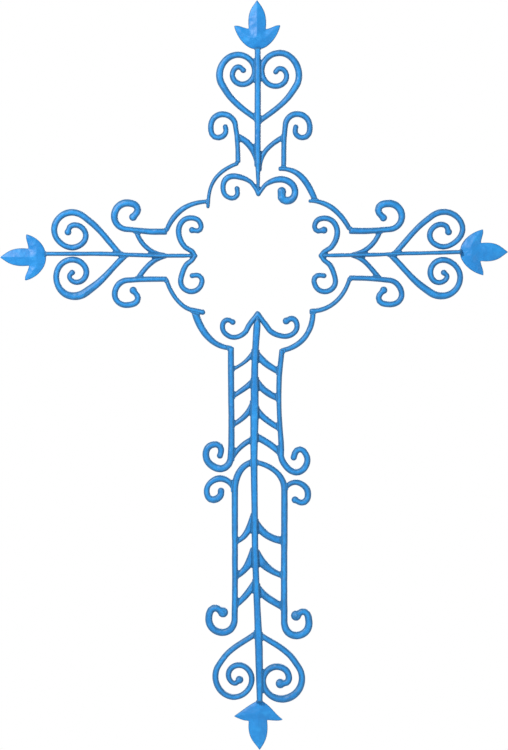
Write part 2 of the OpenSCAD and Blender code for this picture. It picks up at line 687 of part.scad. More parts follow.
leaf(LEFT);  // left_leaf
leaf(RIGHT);  // right_leaf
leaf(FOOT);  // foot_leaf
shaft_rail(0);  // shaft_rail_left
shaft_rail(1);  // shaft_rail_right
side_bar(0);  // side_bar_left
side_bar(1);  // side_bar_right
crook(0);  // crook_left
crook(1);  // crook_right
ring_head_left();
ring_head_right();
ring_left_upper();
ring_left_lower();
ring_right_upper();
ring_right_lower();
ring_foot_left();
ring_foot_right();
bracket(HEAD, 0);  // top_bracket_left
bracket(HEAD, 1);  // top_bracket_right
bracket(LEFT, 0);  // left_bracket_lower
bracket(LEFT, 1);  // left_bracket_upper
bracket(RIGHT, 0);  // right_bracket_lower
bracket(RIGHT, 1);  // right_bracket_upper
rung(1, 0);  // rung_1_left
rung(1, 1);  // rung_1_right
rung(2, 0);  // rung_2_left
rung(2, 1);  // rung_2_right
rung(3, 0);  // rung_3_left
rung(3, 1);  // rung_3_right
rung(4, 0);  // rung_4_left
rung(4, 1);  // rung_4_right
rung(5, 0);  // rung_5_left
rung(5, 1);  // rung_5_right
rung(6, 0);  // rung_6_left
rung(6, 1);  // rung_6_right
rung(7, 0);  // rung_7_left
rung(7, 1);  // rung_7_right
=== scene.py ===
"""A wrought iron cross: bars bent and hammered by hand, welded where they meet, and painted blue.

The forged pieces stand in for the plain bars of the frame, one for one, and the weld beads are
added where those bars meet.
"""

import contextlib
import math
import random

import bpy
import numpy as np
from bpy.props import FloatProperty, FloatVectorProperty, IntProperty, PointerProperty
from bpy.types import Operator, Panel, PropertyGroup
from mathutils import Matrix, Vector


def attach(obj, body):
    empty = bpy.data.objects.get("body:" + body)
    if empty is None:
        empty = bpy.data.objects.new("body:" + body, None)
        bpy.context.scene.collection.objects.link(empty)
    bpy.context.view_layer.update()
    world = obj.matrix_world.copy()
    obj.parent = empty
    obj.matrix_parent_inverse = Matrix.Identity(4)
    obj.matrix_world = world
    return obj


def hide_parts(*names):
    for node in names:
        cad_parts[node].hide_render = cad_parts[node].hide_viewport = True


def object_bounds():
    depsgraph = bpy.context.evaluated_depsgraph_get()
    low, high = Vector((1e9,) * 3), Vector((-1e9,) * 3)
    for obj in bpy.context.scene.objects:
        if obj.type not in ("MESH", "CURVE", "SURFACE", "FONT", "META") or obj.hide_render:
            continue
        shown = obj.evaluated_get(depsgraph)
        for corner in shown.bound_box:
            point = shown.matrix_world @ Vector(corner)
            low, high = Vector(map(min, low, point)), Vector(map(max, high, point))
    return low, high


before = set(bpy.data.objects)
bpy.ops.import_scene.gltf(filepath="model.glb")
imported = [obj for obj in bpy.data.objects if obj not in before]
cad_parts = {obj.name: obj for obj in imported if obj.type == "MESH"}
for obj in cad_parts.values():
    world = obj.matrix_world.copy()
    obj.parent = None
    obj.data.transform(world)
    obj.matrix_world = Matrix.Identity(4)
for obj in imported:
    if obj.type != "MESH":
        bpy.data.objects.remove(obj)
CAD_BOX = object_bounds()

bl_info = {
    "name": "Wrought Iron Cross",
    "version": (1, 0, 0),
    "blender": (4, 5, 0),
    "location": "View3D > Sidebar > Ironwork",
    "description": "Forges, welds and paints an openwork iron cross round its fixed frame",
    "category": "Object",
}

MM = 0.001
TINY = 1e-18  # stands in for the square of an edge of no length

# Outlines
GRID = 1e6  # corners are matched on a grid of this many steps to the metre
FRONT_STEPS = 20  # how many of those steps a face's corners may lie off the front
CORNER = math.radians(26)  # a corner sharper than this stays sharp
TOUCH = 0.04 * MM  # outlines nearer than this touch

# Skins
MERGE = 0.005 * MM  # corners nearer than this become one
SMOOTHING = 0.5  # how far one pass takes a vertex towards its neighbours
CRUMB = 150  # a loose shell with fewer vertices than this is a crumb
HOLD_FROM = 0.7 * MM  # how far behind the frame's front a surface begins to be held back
HOLD_OVER = 1.0 * MM  # the most that it can still come forward from there

# Forging
CROWN_FROM = 0.35  # how far forward in a bar its crown begins, as a share of its depth
CROWN_OVER = 0.55  # the share of its depth over which the crown then comes in
DENT_LEVEL = 0.4  # the height in the pattern of the dents at which the metal stays in place
WAVE_PITCH = 2.5  # the unevenness between the dents, as shares of their pitch and depth
WAVE_DEPTH = 0.7
LEAF_ROUNDING = 2  # how often a leaf's edges are dressed down
LEAF_FALL = 0.8  # under 1, a leaf's faces bulge between its ridge and its edge
LEAF_DENT_DEPTH = 0.5  # a leaf's dents, as shares of a bar's
LEAF_DENT_PITCH = 1.3

# Welding
SEED = 7
BEAD_STEP = 0.8  # distance between the balls of a bead, in ripples
BEAD_SIZES = (0.9, 1.1)  # smallest and largest ball, as shares of the bead's radius
WAYS_AT = 3 * MM  # how far out the opening between two bars is measured
WIDEST_OPENING = math.radians(150)  # a flatter corner holds no fillet
NARROWEST_OPENING = 0.2  # in radians; a sharper corner gets the fillet of one this wide
FILLET_REACH = 6.5 * MM  # the furthest that a fillet reaches
FILLET_END = 0.55  # width of a fillet at its two ends, as a share of its middle
FILLET_FLARE = 4  # how fast it widens from there
RIPPLE_RISE = 0.13  # how far ripples stand out or in, as a share of the fillet's width
RIPPLE_SPREAD = 0.05  # how much that changes by chance
BURIED = 0.7 * MM  # how deep a fillet's edges lie in the bars
LEFT_ARM_FROM = -0.37  # where the arms' welds begin, as shares of half the cross's width
RIGHT_ARM_FROM = 0.35
ZONES = (  # the other parts, each with how far down it reaches, as a share of the height
    ("head", -0.05),
    ("ring", -0.27),
    ("upper_shaft", -0.45),
    ("lower_shaft", -0.6),
)

# Paint. The rims are painted shade: the sides and rounded edges are painted darker the more they
# turn from the front, and each rim gives where that painted shade starts and where it is full: 0 is
# a face that looks straight ahead or back, and 1 a side
BAR_SIDE_SHADE = (0.0, 0.15)
LEAF_SIDE_SHADE = (0.07, 0.4)
SIDE_SHADE_SHARE = 0.85  # how much of the painted shade on the rims is mixed in at most
DRIFT_PITCH = 48 * MM
PATCH_PITCH = 13 * MM
STROKE_PITCH = 2.2 * MM
STROKE_SHRINK = 0.16  # height counts only this much in the strokes, which makes them long
PEEL_PITCH = 1.4 * MM
NIB_PITCH = 6 * MM
NIB_RADIUS = (0.05, 0.14)  # where a nib begins to fall away and where it ends, in its pitch
COATS = (  # pattern, the values over which its colour comes in, its share at most, and the colour
    ("drift", (0.36, 0.68), 1.0, "shade"),
    ("patch", (0.5, 0.72), 0.65, "tint"),
    ("blows", (0.45, 0.85), 0.45, "shade"),
    ("stroke", (0.55, 0.8), 0.3, "tint"),
)
NIB_SHARE = 0.5  # how much of the shade is mixed in on a nib
PATCH_GLOSS = 0.35  # how much rougher the paint is over a whole patch or stroke
STROKE_GLOSS = 0.15
HEIGHTS = (  # how high each pattern stands, as a share of the paint's relief
    ("blows", 4.5), ("patch", 1.5), ("stroke", 0.2), ("peel", 0.12), ("nib", 0.5))

# Stage
SENSOR = 36.0  # the camera's sensor in millimetres
FRAMED = 4 * MM  # how far behind the front of the cross the view is just as tall as the cross
LAMPS = (  # name, place with its height over the middle of the cross, and size
    ("key", (-1.5, -2.5, 1.6), 0.8),
    ("fill", (1.9, -2.4, -0.1), 1.6),
    ("back", (0.9, 2.6, 1.5), 2.4),
)
FLOOR_RADIUS = 2.4
FLOOR_DROP = 0.3  # how far under the cross the floor lies
FLOOR_GLOW = 0.7  # how much of the floor the camera sees as plain white


# ---- sizes and colours that a user would change ----


class ForgeSettings(PropertyGroup):
    """How the bars and leaves are worked under the hammer"""

    bar_grain: FloatProperty(
        name="Bar grain", description="Size of the mesh cells on a bar", default=1.15 * MM,
        unit="LENGTH", precision=5)
    leaf_grain: FloatProperty(
        name="Leaf grain", description="Size of the mesh cells on a leaf", default=0.85 * MM,
        unit="LENGTH", precision=5)
    rounding: IntProperty(
        name="Rounding", description="How often a bar's edges are dressed down", default=6, min=0)
    swell: FloatProperty(
        name="Swell", description="What the dressed bar gets back in thickness on every side",
        default=0.45 * MM, unit="LENGTH", precision=5)
    crown: FloatProperty(
        name="Crown", description="How far a bar's front falls away towards its edges",
        default=2.6 * MM, unit="LENGTH", precision=5)
    crown_half: FloatProperty(
        name="Crown half width", description="How far in from a bar's edge its front is level",
        default=4.2 * MM, unit="LENGTH", precision=5)
    dome: FloatProperty(
        name="Dome", default=0.42,
        description="Rise of a button or a wide place for each unit of extra half width")
    dent_pitch: FloatProperty(
        name="Dent pitch", description="Distance between hammer dents", default=9 * MM,
        unit="LENGTH", precision=4)
    dent_depth: FloatProperty(
        name="Dent depth", description="Depth of the hammer dents", default=0.95 * MM,
        unit="LENGTH", precision=5)
    leaf_edge: FloatProperty(
        name="Leaf edge", description="Thickness of a leaf at its edge", default=3.2 * MM,
        unit="LENGTH", precision=5)
    leaf_ridge: FloatProperty(
        name="Leaf ridge", description="How far in from its edge a leaf reaches its full thickness",
        default=22 * MM, unit="LENGTH", precision=4)


class WeldSettings(PropertyGroup):
    """The weld beads where bars meet"""

    grain: FloatProperty(
        name="Weld grain", description="Size of the mesh cells on a weld", default=0.6 * MM,
        unit="LENGTH", precision=5)
    bead: FloatProperty(
        name="Bead", description="Radius of the bead along the front of a joint", default=1.8 * MM,
        unit="LENGTH", precision=5)
    proud: FloatProperty(
        name="Proud", description="How far the bead stands out in front of the lower bar",
        default=0.35 * MM, unit="LENGTH", precision=5)
    fillet: FloatProperty(
        name="Fillet", description="Width of the weld down the corner between two bars",
        default=3.6 * MM, unit="LENGTH", precision=5)
    ripple: FloatProperty(
        name="Ripple", description="Distance between two ripples of a weld", default=1.6 * MM,
        unit="LENGTH", precision=5)


class PaintSettings(PropertyGroup):
    """The blue enamel paint"""

    colour: FloatVectorProperty(
        name="Colour", description="Colour of the paint", subtype="COLOR", size=3, min=0, max=1,
        default=(0.012, 0.28, 0.72))
    shade: FloatVectorProperty(
        name="Shade", description="Colour where the paint lies thick", subtype="COLOR", size=3,
        min=0, max=1, default=(0.009, 0.22, 0.61))
    tint: FloatVectorProperty(
        name="Tint", description="Colour where the brush has left it thin", subtype="COLOR", size=3,
        min=0, max=1, default=(0.024, 0.335, 0.79))
    # edge is painted shade: the colour given to the sides and rounded edges, darker as they turn
    # from the front
    edge: FloatVectorProperty(
        name="Edge", description="Colour of the sides and rounded edges", subtype="COLOR", size=3,
        min=0, max=1, default=(0.02, 0.145, 0.33))
    roughness: FloatProperty(
        name="Roughness", description="Roughness of the paint", default=0.45, min=0, max=1)
    blow_pitch: FloatProperty(
        name="Blow pitch", description="Distance between the hammer marks that show in the paint",
        default=7.5 * MM, unit="LENGTH", precision=4)
    relief: FloatProperty(
        name="Relief", description="Height of the paint's brush strokes and specks",
        default=0.15 * MM, unit="LENGTH", precision=5)


class StageSettings(PropertyGroup):
    """The camera and the lights"""

    lens: FloatProperty(
        name="Lens", description="Focal length of the camera in millimetres", default=250)
    sky: FloatProperty(
        name="Sky", description="Strength of the even light from all round", default=0.28)
    key: FloatProperty(name="Key", description="Power of the main lamp in watts", default=86)
    fill: FloatProperty(name="Fill", description="Power of the second lamp in watts", default=10)
    back: FloatProperty(name="Back", description="Power of the lamp behind in watts", default=58)


# ---- shader maths ----


class Value:
    """A socket that can be used in a Python expression, which adds its Math nodes"""

    def __init__(self, paint, socket):
        self.paint = paint
        self.socket = socket

    def _maths(self, operation, first, second):
        return self.paint.node("ShaderNodeMath", {"operation": operation}, {0: first, 1: second})

    def __add__(self, other):
        return self._maths("ADD", self, other)

    def __radd__(self, other):
        return self._maths("ADD", other, self)

    def __sub__(self, other):
        return self._maths("SUBTRACT", self, other)

    def __rsub__(self, other):
        return self._maths("SUBTRACT", other, self)

    def __mul__(self, other):
        return self._maths("MULTIPLY", self, other)

    def between(self, low, high):
        """From 0 to 1 as this value goes from low to high, smoothly"""
        return self.paint.node(
            "ShaderNodeMapRange", {"interpolation_type": "SMOOTHSTEP"},
            {"Value": self, "From Min": low, "From Max": high})


class Finish:
    """A node material under construction"""

    def __init__(self, name):
        self.material = bpy.data.materials.new(name)
        self.material.use_nodes = True
        self.tree = self.material.node_tree
        self.tree.nodes.clear()

    def node(self, kind, settings=None, inputs=None, output=0):
        made = self.tree.nodes.new(kind)
        for key, value in (settings or {}).items():
            setattr(made, key, value)
        for key, value in (inputs or {}).items():
            if isinstance(value, Value):
                self.tree.links.new(value.socket, made.inputs[key])
            else:
                made.inputs[key].default_value = value
        return Value(self, made.outputs[output])

    def noise(self, place, pitch, detail=2.0):
        """Cloudy noise whose patches are about pitch across"""
        return self.node(
            "ShaderNodeTexNoise", {}, {"Vector": place, "Scale": 1 / pitch, "Detail": detail})

    def mix(self, share, first, second):
        """A colour between two colours"""
        made = self.tree.nodes.new("ShaderNodeMix")
        made.data_type = "RGBA"
        factor, start, end = (made.inputs[i] for i in (0, 6, 7))
        for socket, value in ((factor, share), (start, first), (end, second)):
            if isinstance(value, Value):
                self.tree.links.new(value.socket, socket)
            else:
                socket.default_value = value
        return Value(self, made.outputs[2])

    def surface(self, shader):
        out = self.tree.nodes.new("ShaderNodeOutputMaterial")
        self.tree.links.new(shader.socket, out.inputs["Surface"])
        return self.material


def rgba(colour):
    return (*colour, 1.0)


def enamel(name="blue_enamel", side_shade=BAR_SIDE_SHADE):
    """Brushed-on enamel over hammered iron

    The colour drifts between a deeper and a lighter blue where the coat is thick or thin, brush
    strokes and dust nibs stand in it, and the marks of the hammer show through. The sides and
    rounded edges are painted darker the more they turn from the front, which is painted shade.
    """
    made = bpy.data.materials.get(name)
    if made:
        return made
    paint = bpy.context.scene.ironwork_paint
    finish = Finish(name)
    place = finish.node("ShaderNodeTexCoord", output="Object")
    along = finish.node(
        "ShaderNodeMapping", {}, {"Vector": place, "Scale": (1.0, 1.0, STROKE_SHRINK)})
    nibs = finish.node(
        "ShaderNodeTexVoronoi", {"feature": "F1"}, {"Vector": place, "Scale": 1 / NIB_PITCH})
    patterns = {
        "drift": finish.noise(place, DRIFT_PITCH, 3.0),
        "patch": finish.noise(place, PATCH_PITCH, 4.0),
        "stroke": finish.noise(along, STROKE_PITCH),
        "peel": finish.noise(place, PEEL_PITCH),
        "blows": finish.node(
            "ShaderNodeTexVoronoi", {"feature": "SMOOTH_F1"},
            {"Vector": place, "Scale": 1 / paint.blow_pitch, "Smoothness": 0.6}),
        "nib": 1 - nibs.between(*NIB_RADIUS),
    }
    colour = rgba(paint.colour)
    for pattern_name, values, most, other in COATS:
        share = patterns[pattern_name].between(*values) * most
        colour = finish.mix(share, colour, rgba(getattr(paint, other)))
    colour = finish.mix(patterns["nib"] * NIB_SHARE, colour, rgba(paint.shade))
    # painted shade: the sides and rounded edges take the dark edge colour by how far their normal
    # turns from the front
    normal = finish.node("ShaderNodeTexCoord", output="Normal")
    facing = finish.node("ShaderNodeSeparateXYZ", {}, {"Vector": normal}, output="Y")
    side = 1 - facing * facing
    colour = finish.mix(side.between(*side_shade) * SIDE_SHADE_SHARE, colour, rgba(paint.edge))
    gloss = paint.roughness + (patterns["patch"] - 0.5) * PATCH_GLOSS
    gloss += (patterns["stroke"] - 0.5) * STROKE_GLOSS
    height = sum(patterns[pattern_name] * rise for pattern_name, rise in HEIGHTS)
    bump = finish.node(
        "ShaderNodeBump", {}, {"Height": height, "Distance": paint.relief, "Strength": 0.8})
    shader = finish.node(
        "ShaderNodeBsdfPrincipled", {},
        {"Base Color": colour, "Roughness": gloss, "Normal": bump, "Metallic": 0.0, "IOR": 1.45})
    return finish.surface(shader)


# ---- the frame's bars as outlines ----


def unit(vector):
    return vector / max(math.hypot(*vector), 1e-12)


def rounded(loop):
    """A closed outline with a new point between every two, so that its arcs lose their flats

    The new point is the middle of a cubic through both ends, whose way at each end is the mean of
    the two edges there. A corner sharper than CORNER stays sharp.
    """
    ahead = np.roll(loop, -1, axis=0)
    edge = ahead - loop
    length = np.maximum(np.hypot(edge[:, 0], edge[:, 1]), 1e-9)
    way = edge / length[:, None]
    before, after = np.roll(way, 1, axis=0), np.roll(way, -1, axis=0)
    corner = (before * way).sum(axis=1) < math.cos(CORNER)
    into = np.where(corner[:, None], way, before)
    out = np.where(np.roll(corner, -1)[:, None], way, after)
    span = np.minimum(length, np.minimum(np.roll(length, 1), np.roll(length, -1)))
    middle = (loop + ahead) / 2 + span[:, None] * (into - out) / 16
    return np.stack([loop, middle], axis=1).reshape(-1, 2)


class Outline:
    """The outline of a flat CAD node seen from the front, in metres, with its depth

    loops are the node's own corners, and curves are the same outlines with their arcs rounded.
    """

    def __init__(self, node):
        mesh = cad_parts[node].data
        places = np.array([v.co for v in mesh.vertices], float)
        keys = [tuple(k) for k in np.round(places * GRID).astype(int)]
        front = places[:, 1].min()
        self.depth = -front
        border = {}  # a dict, which keeps the order of its edges
        for face in mesh.polygons:
            corners = [keys[i] for i in face.vertices]
            if any(abs(corner[1] - front * GRID) > FRONT_STEPS for corner in corners):
                continue
            for start, end in zip(corners, corners[1:] + corners[:1]):
                if (end, start) in border:
                    del border[(end, start)]
                else:
                    border[(start, end)] = True
        following = {start: end for start, end in border}
        self.loops = []
        while following:
            loop = [next(iter(following))]
            while loop[-1] in following:
                loop.append(following.pop(loop[-1]))
            self.loops.append(np.array([(x, z) for x, _, z in loop[:-1]], float) / GRID)
        self.loops.sort(key=len, reverse=True)
        self.curves = [rounded(rounded(loop)) for loop in self.loops]
        self.low = self.loops[0].min(axis=0)
        self.high = self.loops[0].max(axis=0)

    def distance(self, points, loops):
        """How far each point is from the loops"""
        points = np.atleast_2d(points)
        starts = np.concatenate(loops)
        along = np.concatenate([np.roll(loop, -1, axis=0) for loop in loops]) - starts
        squares = np.maximum((along**2).sum(axis=1), TINY)
        nearest = np.full(len(points), np.inf)
        for start, step, square in zip(starts, along, squares):
            share = np.clip(((points - start) @ step) / square, 0, 1)
            gap = points - start - share[:, None] * step
            np.minimum(nearest, np.hypot(gap[:, 0], gap[:, 1]), out=nearest)
        return nearest

    def near(self, other, margin=MM):
        return bool(
            np.all(self.low - margin < other.high) and np.all(other.low - margin < self.high))

    def walk(self, point, far):
        """The points of the main outline at a distance before and after a point on it"""
        loop = self.loops[0]
        steps = np.roll(loop, -1, axis=0) - loop
        square = np.maximum((steps**2).sum(axis=1), TINY)
        share = np.clip(((point - loop) * steps).sum(axis=1) / square, 0, 1)
        gaps = point - loop - share[:, None] * steps
        here = int(np.argmin((gaps**2).sum(axis=1)))
        found = []
        for way in (1, -1):
            left, at = far, np.array(point, float)
            index = (here + 1) % len(loop) if way == 1 else here
            while True:
                span = loop[index] - at
                size = math.hypot(*span)
                if size >= left:
                    found.append(at + span * left / size)
                    break
                left -= size
                at = loop[index]
                index = (index + way) % len(loop)
        return found


OUTLINES = {node: Outline(node) for node in sorted(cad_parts)}


# ---- forging ----


def select_only(obj):
    bpy.ops.object.select_all(action="DESELECT")
    bpy.context.view_layer.objects.active = obj
    obj.select_set(True)


def apply_modifier(obj, kind, **settings):
    select_only(obj)
    bpy.ops.object.modifier_add(type=kind)
    modifier = obj.modifiers[-1]
    for key, value in settings.items():
        setattr(modifier, key, value)
    bpy.ops.object.modifier_apply(modifier=modifier.name)


def add_object(name, data):
    obj = bpy.data.objects.new(name, data)
    bpy.context.scene.collection.objects.link(obj)
    select_only(obj)
    return obj


@contextlib.contextmanager
def edit_mode():
    bpy.ops.object.mode_set(mode="EDIT")
    yield
    bpy.ops.object.mode_set(mode="OBJECT")


def places_of(obj):
    places = np.empty(len(obj.data.vertices) * 3, np.float32)
    obj.data.vertices.foreach_get("co", places)
    return places.reshape(-1, 3).astype(float)


def set_places(obj, places):
    obj.data.vertices.foreach_set("co", places.astype(np.float32).ravel())
    obj.data.update()


def pattern(kind, pitch):
    """A texture for hammer dents, made once for each kind and pitch"""
    name = f"{kind.lower()}_{round(pitch / MM * 10)}"
    made = bpy.data.textures.get(name)
    if not made:
        made = bpy.data.textures.new(name, kind)
        made.noise_scale = pitch
        if kind == "VORONOI":
            made.distance_metric = "DISTANCE_SQUARED"
    return made


def drop_crumbs(obj):
    """Removes the loose crumbs that a new skin can leave beside a thin tip"""
    mesh = obj.data
    ends = np.empty(len(mesh.edges) * 2, int)
    mesh.edges.foreach_get("vertices", ends)
    first, second = ends.reshape(-1, 2).T
    label = np.arange(len(mesh.vertices))
    settled = False
    while not settled:
        lower = np.minimum(label[first], label[second])
        joined = label.copy()
        np.minimum.at(joined, first, lower)
        np.minimum.at(joined, second, lower)
        joined = joined[joined]
        settled = (joined == label).all()
        label = joined
    crumb = np.bincount(label, minlength=len(label))[label] < CRUMB
    if not crumb.any():
        return
    with edit_mode():
        bpy.ops.mesh.select_mode(type="VERT")
        bpy.ops.mesh.select_all(action="DESELECT")
    mesh.vertices.foreach_set("select", crumb)
    with edit_mode():
        bpy.ops.mesh.delete(type="VERT")


def finish_piece(obj, nodes=(), paint=None):
    select_only(obj)
    drop_crumbs(obj)
    bpy.ops.object.shade_smooth()
    obj.data.materials.clear()
    obj.data.materials.append(paint or enamel())
    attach(obj, "root")
    if nodes:
        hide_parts(*nodes)
    return obj


def blank(outline, name, grain, rounding):
    """A bar cut to the outline, as an even skin of small cells with its edges dressed down"""
    curve = bpy.data.curves.new(name, "CURVE")
    curve.dimensions = "2D"
    curve.fill_mode = "BOTH"
    curve.extrude = outline.depth / 2
    for loop in outline.curves:
        spline = curve.splines.new("POLY")
        spline.points.add(len(loop) - 1)
        corners = np.c_[loop, np.zeros(len(loop)), np.ones(len(loop))]
        spline.points.foreach_set("co", corners.ravel())
        spline.use_cyclic_u = True
    add_object(name, curve)
    bpy.ops.object.convert(target="MESH")
    obj = bpy.context.object
    places = places_of(obj)
    set_places(obj, np.c_[places[:, 0], -places[:, 2] - outline.depth / 2, places[:, 1]])
    with edit_mode():
        bpy.ops.mesh.select_all(action="SELECT")
        bpy.ops.mesh.remove_doubles(threshold=MERGE)
        bpy.ops.mesh.normals_make_consistent(inside=False)
    apply_modifier(obj, "REMESH", mode="VOXEL", voxel_size=grain)
    apply_modifier(obj, "SMOOTH", factor=SMOOTHING, iterations=rounding)
    return obj


def flatten(obj):
    """Presses the back flat and holds what stands out in front close to the frame's own front"""
    places = places_of(obj)
    level = CAD_BOX[0].y + HOLD_FROM
    over = np.maximum(level - places[:, 1], 0)
    held = np.tanh(over / HOLD_OVER) * HOLD_OVER
    places[:, 1] = np.minimum(places[:, 1] + over - held, 0.0)
    set_places(obj, places)


def hammer(obj, swell, depth, pitch):
    """Gives back what dressing took, dents the front and makes the bar a little uneven"""
    apply_modifier(obj, "DISPLACE", strength=swell, mid_level=0.0)
    apply_modifier(
        obj, "DISPLACE", texture=pattern("VORONOI", pitch), texture_coords="LOCAL", direction="Y",
        strength=-depth, mid_level=DENT_LEVEL)
    apply_modifier(
        obj, "DISPLACE", texture=pattern("CLOUDS", pitch * WAVE_PITCH), texture_coords="LOCAL",
        strength=depth * WAVE_DEPTH, mid_level=0.5)
    flatten(obj)


def forge_bar(node):
    """One bent bar: a crowned front, rounded edges, domed ends and hammer dents"""
    forge = bpy.context.scene.ironwork_forge
    outline = OUTLINES[node]
    obj = blank(outline, "forged_" + node, forge.bar_grain, forge.rounding)
    places = places_of(obj)
    inside = outline.distance(places[:, [0, 2]], outline.curves)
    ease = np.clip((-places[:, 1] / outline.depth - CROWN_FROM) / CROWN_OVER, 0, 1)
    ease = ease * ease * (3 - 2 * ease)
    edge = 1 - np.minimum(inside / forge.crown_half, 1)
    fall = forge.crown * (1 - np.sqrt(1 - edge**2))
    rise = forge.dome * np.maximum(inside - forge.crown_half, 0)
    places[:, 1] += ease * (fall - rise)
    set_places(obj, places)
    hammer(obj, forge.swell, forge.dent_depth, forge.dent_pitch)
    return finish_piece(obj, [node])


def forge_leaf(node):
    """A leaf beaten thin towards its edges, so that ridges run up its blade and its side lobes"""
    forge = bpy.context.scene.ironwork_forge
    outline = OUTLINES[node]
    obj = blank(outline, "forged_" + node, forge.leaf_grain, LEAF_ROUNDING)
    places = places_of(obj)
    inside = outline.distance(places[:, [0, 2]], outline.curves)
    slope = np.minimum(inside / forge.leaf_ridge, 1)
    thick = forge.leaf_edge + (outline.depth - forge.leaf_edge) * slope**LEAF_FALL
    places[:, 1] *= thick / outline.depth
    set_places(obj, places)
    depth, pitch = forge.dent_depth * LEAF_DENT_DEPTH, forge.dent_pitch * LEAF_DENT_PITCH
    hammer(obj, forge.swell, depth, pitch)
    # the leaf takes its own band of painted shade on its sides and rounded edges
    return finish_piece(obj, [node], enamel("blue_enamel_leaf", LEAF_SIDE_SHADE))


# ---- welding ----


def contact_runs(mine, other):
    """The stretches of one outline that lie on another, as runs of indices of its main loop"""
    loop = mine.loops[0]
    middles = (loop + np.roll(loop, -1, axis=0)) / 2
    corner_on = other.distance(loop, other.loops) < TOUCH
    middle_on = other.distance(middles, other.loops) < TOUCH
    touching = corner_on & np.roll(corner_on, -1) & middle_on
    if not touching.any() or touching.all():
        return []
    first = int(np.argmin(touching))
    runs, run = [], []
    for step in range(1, len(loop) + 1):
        index = (first + step) % len(loop)
        if touching[index]:
            run = run or [index]
            run.append((index + 1) % len(loop))
        elif run:
            runs.append(run)
            run = []
    if run:
        runs.append(run)
    return runs


def resample(path, step):
    """Points spread evenly along a path"""
    path = np.array(path)
    spans = np.hypot(*np.diff(path, axis=0).T)
    far = np.concatenate([[0], np.cumsum(spans)])
    count = max(2, int(round(far[-1] / step)) + 1)
    wanted = np.linspace(0, far[-1], count)
    return np.stack([np.interp(wanted, far, path[:, k]) for k in (0, 1)], axis=1)


def seam_beads(mine, other, run, weld, rng):
    """Balls along the front and back of one joint, each a centre and a radius"""
    lower = min(mine.depth, other.depth)
    beads = []
    for x, z in resample(mine.loops[0][run], weld.ripple * BEAD_STEP):
        size = weld.bead * rng.uniform(*BEAD_SIZES)
        beads.append((x, -lower + size - weld.proud, z, size))
        beads.append((x, -size, z, size))
    return beads


def corner_weld(mine, other, run, end, weld, rng):
    """The rippled fillet down the corner at one end of a joint, as rings of three points"""
    loop = mine.loops[0]
    point = loop[run[0 if end else -1]]
    inward = loop[run[1 if end else -2]]

    def ways(far):
        own = mine.walk(point, far)[1 if end else 0]
        return own, max(other.walk(point, far), key=lambda p: math.hypot(*(p - inward)))

    own, others = (unit(p - point) for p in ways(WAYS_AT))
    opening = math.acos(max(-1.0, min(1.0, float(own @ others))))
    if opening > WIDEST_OPENING:
        return []
    half = max(opening, NARROWEST_OPENING) / 2
    reach = min(0.5 * weld.fillet / math.sin(half), FILLET_REACH)
    lower = min(mine.depth, other.depth)
    count = max(4, int(round(lower / (weld.ripple / 2))))
    rings = []
    for step in range(count + 1):
        share = step / count
        ease = min(1.0, *(FILLET_FLARE * way + FILLET_END for way in (share, 1 - share)))
        ripple = RIPPLE_RISE if step % 2 else -RIPPLE_RISE
        size = reach * ease * (1 + ripple + rng.uniform(-RIPPLE_SPREAD, RIPPLE_SPREAD))
        first, second = ways(size)
        bury = BURIED * unit(point - (first + second) / 2)
        level = -lower * share
        corners = (point + 2 * bury, first + bury, second + bury)
        rings.append([(x, level, z) for x, z in corners])
    return rings


def weld_mesh(name, beads, columns):
    """A group of welds as one mesh of small balls and rippled fillets"""
    bpy.ops.object.select_all(action="DESELECT")
    bpy.ops.mesh.primitive_ico_sphere_add(subdivisions=2, radius=1.0)
    ball = bpy.context.object
    shape = places_of(ball)
    sides = [list(f.vertices) for f in ball.data.polygons]
    bpy.data.objects.remove(ball)
    points, faces = [], []
    for x, y, z, radius in beads:
        first = len(points)
        points.extend((shape * radius + (x, y, z)).tolist())
        faces.extend([first + i for i in side] for side in sides)
    for rings in columns:
        first = len(points)
        points.extend(corner for ring in rings for corner in ring)
        for low in range(first, first + 3 * (len(rings) - 1), 3):
            for i, j in ((0, 1), (1, 2), (2, 0)):
                faces.append([low + i, low + j, low + 3 + j, low + 3 + i])
        last = first + 3 * (len(rings) - 1)
        faces.append([first + 2, first + 1, first])
        faces.append([last, last + 1, last + 2])
    mesh = bpy.data.meshes.new(name)
    mesh.from_pydata(points, [], faces)
    obj = add_object(name, mesh)
    with edit_mode():
        bpy.ops.mesh.select_all(action="SELECT")
        bpy.ops.mesh.normals_make_consistent(inside=False)
    return obj


def zone(x, z):
    """The name of the part of the cross that a joint belongs to"""
    low, high = CAD_BOX
    across = (high.x - low.x) / 2
    if x < LEFT_ARM_FROM * across:
        return "left_arm"
    if x > RIGHT_ARM_FROM * across:
        return "right_arm"
    height = z / (high.z - low.z)
    return next((name for name, above in ZONES if height > above), "foot")


def weld_joints():
    """Welds along every line where two bars meet, in one piece for each part of the cross"""
    weld = bpy.context.scene.ironwork_weld
    rng = random.Random(SEED)
    names = sorted(OUTLINES)
    groups = {}
    for i, first in enumerate(names):
        for second in names[i + 1:]:
            mine, other = OUTLINES[first], OUTLINES[second]
            if not mine.near(other):
                continue
            runs = contact_runs(mine, other)
            if not runs:
                mine, other = other, mine
                runs = contact_runs(mine, other)
            for run in runs:
                beads, columns = groups.setdefault(zone(*mine.loops[0][run[0]]), ([], []))
                beads.extend(seam_beads(mine, other, run, weld, rng))
                for end in (True, False):
                    rings = corner_weld(mine, other, run, end, weld, rng)
                    if rings:
                        columns.append(rings)
    for place, (beads, columns) in sorted(groups.items()):
        obj = weld_mesh("welds_" + place, beads, columns)
        apply_modifier(obj, "REMESH", mode="VOXEL", voxel_size=weld.grain)
        apply_modifier(obj, "SMOOTH", factor=SMOOTHING, iterations=1)
        flatten(obj)
        finish_piece(obj)


